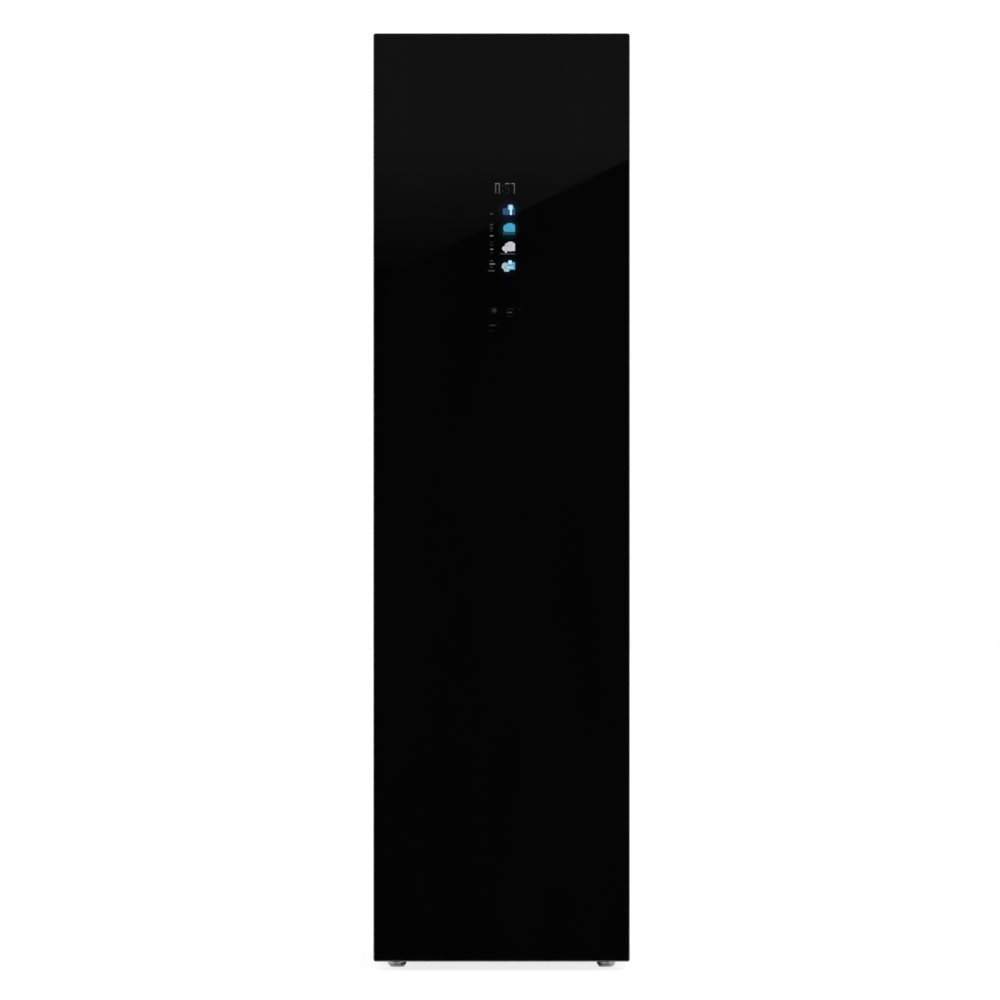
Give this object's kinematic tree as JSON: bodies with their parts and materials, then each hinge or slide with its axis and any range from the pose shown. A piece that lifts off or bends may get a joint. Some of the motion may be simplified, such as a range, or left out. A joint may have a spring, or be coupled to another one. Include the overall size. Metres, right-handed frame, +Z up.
{
  "type": "clothes care steam cabinet",
  "caption": "Tall steam clothes care cabinet: black glass door with display, shaking hanger rail, shelf, trouser press, water tanks and air machinery.",
  "frame": {"origin": "on the floor, under the middle of the cabinet's width and overall depth", "axes": "+Z up, +X to the right as seen from the front, the door faces -Y"},
  "size_m": [0.506, 0.6, 1.85],
  "materials": {
    "door_glass": "black tinted gloss",
    "door_frame": "dark anodised",
    "door_grip": "fine grain",
    "door_liner": "satin",
    "door_gasket": "soft matt",
    "display_board": "circuit board",
    "door_hinge_bushes": "acetal",
    "side_panel_right": "fine textured paint",
    "side_panel_left": "fine textured paint",
    "top_panel": "fine textured paint",
    "rear_panel": "galvanised grey",
    "base_pan": "galvanised grey",
    "insulation": "rigid foam",
    "cabin_liner": "satin",
    "cabin_floor": "fine grain",
    "lower_fascia": "fine grain",
    "ceiling_cover": "satin",
    "cabin_lamp": "opal diffuser",
    "air_grille": "fine grain",
    "cabinet_screws": "zinc plated",
    "hinge_bracket_top": "zinc plated",
    "hinge_bracket_bottom": "zinc plated",
    "hinge_cover_top": "fine grain",
    "foot_sockets": "zinc plated",
    "air_duct": "white foam plastic",
    "evaporator": "bare fins",
    "condenser": "bare fins",
    "refrigerant_pipes": "copper",
    "fan_wheel": "black",
    "fan_motor": "zinc plated",
    "compressor": "black paint",
    "compressor_grommets": "black",
    "steam_generator": "die cast",
    "steam_hose": "silicone",
    "feed_pump": "black",
    "control_case": "moulded case",
    "cord_gland": "black",
    "shaker_motor": "zinc plated",
    "rail_bearings": "acetal",
    "crank": "machined",
    "hanger_rail": "satin anodised",
    "hanger": "satin black",
    "supply_tank": "translucent",
    "drain_tank": "translucent",
    "tank_lid": "satin",
    "tank_handle": "satin",
    "lint_filter": "framed mesh",
    "aroma_cartridge": "satin",
    "shelf": "satin",
    "press_base": "satin",
    "press_panel": "satin",
    "press_lever": "satin",
    "levelling_foot": "zinc plated"
  },
  "bodies": {
    "cabinet": {"side_panel_right": "side_panel_right", "side_panel_left": "side_panel_left", "top_panel": "top_panel", "rear_panel": "rear_panel", "base_pan": "base_pan", "insulation": "insulation", "cabin_liner": "cabin_liner", "cabin_floor": "cabin_floor", "lower_fascia": "lower_fascia", "ceiling_cover": "ceiling_cover", "cabin_lamp": "cabin_lamp", "air_grille": "air_grille", "cabinet_screws": "cabinet_screws", "hinge_bracket_top": "hinge_bracket_top", "hinge_bracket_bottom": "hinge_bracket_bottom", "hinge_cover_top": "hinge_cover_top", "foot_sockets": "foot_sockets", "air_duct": "air_duct", "evaporator": "evaporator", "condenser": "condenser", "refrigerant_pipes": "refrigerant_pipes", "fan_motor": "fan_motor", "compressor": "compressor", "compressor_grommets": "compressor_grommets", "steam_generator": "steam_generator", "steam_hose": "steam_hose", "feed_pump": "feed_pump", "control_case": "control_case", "cord_gland": "cord_gland", "shaker_motor": "shaker_motor", "rail_bearings": "rail_bearings"},
    "fan": {"fan_wheel": "fan_wheel"},
    "crank_body": {"crank": "crank"},
    "rail": {"hanger_rail": "hanger_rail"},
    "hanger_l": {"hanger_left": "hanger"},
    "hanger_m": {"hanger_middle": "hanger"},
    "hanger_r": {"hanger_right": "hanger"},
    "supply_tank_body": {"supply_tank": "supply_tank", "supply_tank_lid": "tank_lid"},
    "supply_handle": {"supply_tank_handle": "tank_handle"},
    "drain_tank_body": {"drain_tank": "drain_tank", "drain_tank_lid": "tank_lid"},
    "drain_handle": {"drain_tank_handle": "tank_handle"},
    "filter": {"lint_filter": "lint_filter"},
    "aroma": {"aroma_cartridge": "aroma_cartridge"},
    "shelf_body": {"shelf": "shelf"},
    "door": {"door_glass": "door_glass", "door_frame": "door_frame", "door_grip": "door_grip", "door_liner": "door_liner", "door_gasket": "door_gasket", "display_board": "display_board", "door_hinge_bushes": "door_hinge_bushes", "press_base": "press_base"},
    "press": {"press_panel": "press_panel"},
    "press_handle": {"press_lever": "press_lever"},
    "foot_fl": {"foot_front_left": "levelling_foot"},
    "foot_fr": {"foot_front_right": "levelling_foot"},
    "foot_rl": {"foot_rear_left": "levelling_foot"},
    "foot_rr": {"foot_rear_right": "levelling_foot"}
  },
  "joints": [
    {"name": "door_swing", "type": "hinge", "parent": "cabinet", "child": "door", "pos_m": [0.237, -0.264, 0.925], "axis": [0, 0, 1], "range_deg": [0, 110]},
    {"name": "fan_spin", "type": "hinge", "parent": "cabinet", "child": "fan", "pos_m": [0.1, 0.16, 0.19], "axis": [1, 0, 0], "continuous": true},
    {"name": "rail_shake", "type": "slide", "parent": "cabinet", "child": "rail", "axis": [1, 0, 0], "range_m": [-0.0146, 0.0146]},
    {"name": "crank_spin", "type": "hinge", "parent": "cabinet", "child": "crank_body", "pos_m": [0, 0.015, 1.789], "axis": [0, 0, 1], "range_deg": [-60.5, 60.5]},
    {"name": "hanger_left_swing", "type": "hinge", "parent": "rail", "child": "hanger_l", "pos_m": [-0.11, 0.015, 1.7], "axis": [1, 0, 0], "range_deg": [-10, 10]},
    {"name": "hanger_middle_swing", "type": "hinge", "parent": "rail", "child": "hanger_m", "pos_m": [0, 0.015, 1.7], "axis": [1, 0, 0], "range_deg": [-10, 10]},
    {"name": "hanger_right_swing", "type": "hinge", "parent": "rail", "child": "hanger_r", "pos_m": [0.11, 0.015, 1.7], "axis": [1, 0, 0], "range_deg": [-10, 10]},
    {"name": "supply_tank_lift", "type": "slide", "parent": "cabinet", "child": "supply_tank_body", "axis": [0, 0, 1], "range_m": [0, 0.24]},
    {"name": "supply_handle_fold", "type": "hinge", "parent": "supply_tank_body", "child": "supply_handle", "pos_m": [-0.107, -0.1478, 0.3953], "axis": [-1, 0, 0], "range_deg": [0, 90]},
    {"name": "drain_tank_lift", "type": "slide", "parent": "cabinet", "child": "drain_tank_body", "axis": [0, 0, 1], "range_m": [0, 0.24]},
    {"name": "drain_handle_fold", "type": "hinge", "parent": "drain_tank_body", "child": "drain_handle", "pos_m": [0.107, -0.1478, 0.3953], "axis": [-1, 0, 0], "range_deg": [0, 90]},
    {"name": "filter_lift", "type": "slide", "parent": "cabinet", "child": "filter", "axis": [0, 0, 1], "range_m": [0, 0.13]},
    {"name": "aroma_lift", "type": "slide", "parent": "cabinet", "child": "aroma", "axis": [0, 0, 1], "range_m": [0, 0.08]},
    {"name": "shelf_lift", "type": "slide", "parent": "cabinet", "child": "shelf_body", "axis": [0, 0, 1], "range_m": [0, 0.04]},
    {"name": "press_swing", "type": "hinge", "parent": "door", "child": "press", "pos_m": [0.172, -0.2245, 1.08], "axis": [0, 0, -1], "range_deg": [0, 90]},
    {"name": "press_lever_pull", "type": "hinge", "parent": "press", "child": "press_handle", "pos_m": [-0.117, -0.2142, 1.08], "axis": [0, 0, -1], "range_deg": [0, 50]},
    {"name": "foot_fl_turn", "type": "hinge", "parent": "cabinet", "child": "foot_fl", "pos_m": [-0.208, -0.205, 0], "axis": [0, 0, 1], "continuous": true},
    {"name": "foot_fr_turn", "type": "hinge", "parent": "cabinet", "child": "foot_fr", "pos_m": [0.208, -0.205, 0], "axis": [0, 0, 1], "continuous": true},
    {"name": "foot_rl_turn", "type": "hinge", "parent": "cabinet", "child": "foot_rl", "pos_m": [-0.208, 0.25, 0], "axis": [0, 0, 1], "continuous": true},
    {"name": "foot_rr_turn", "type": "hinge", "parent": "cabinet", "child": "foot_rr", "pos_m": [0.208, 0.25, 0], "axis": [0, 0, 1], "continuous": true}
  ],
  "couplings": [
    {"joint": "crank_spin", "follows": "rail_shake", "rad_per_m": 71.726}
  ]
}
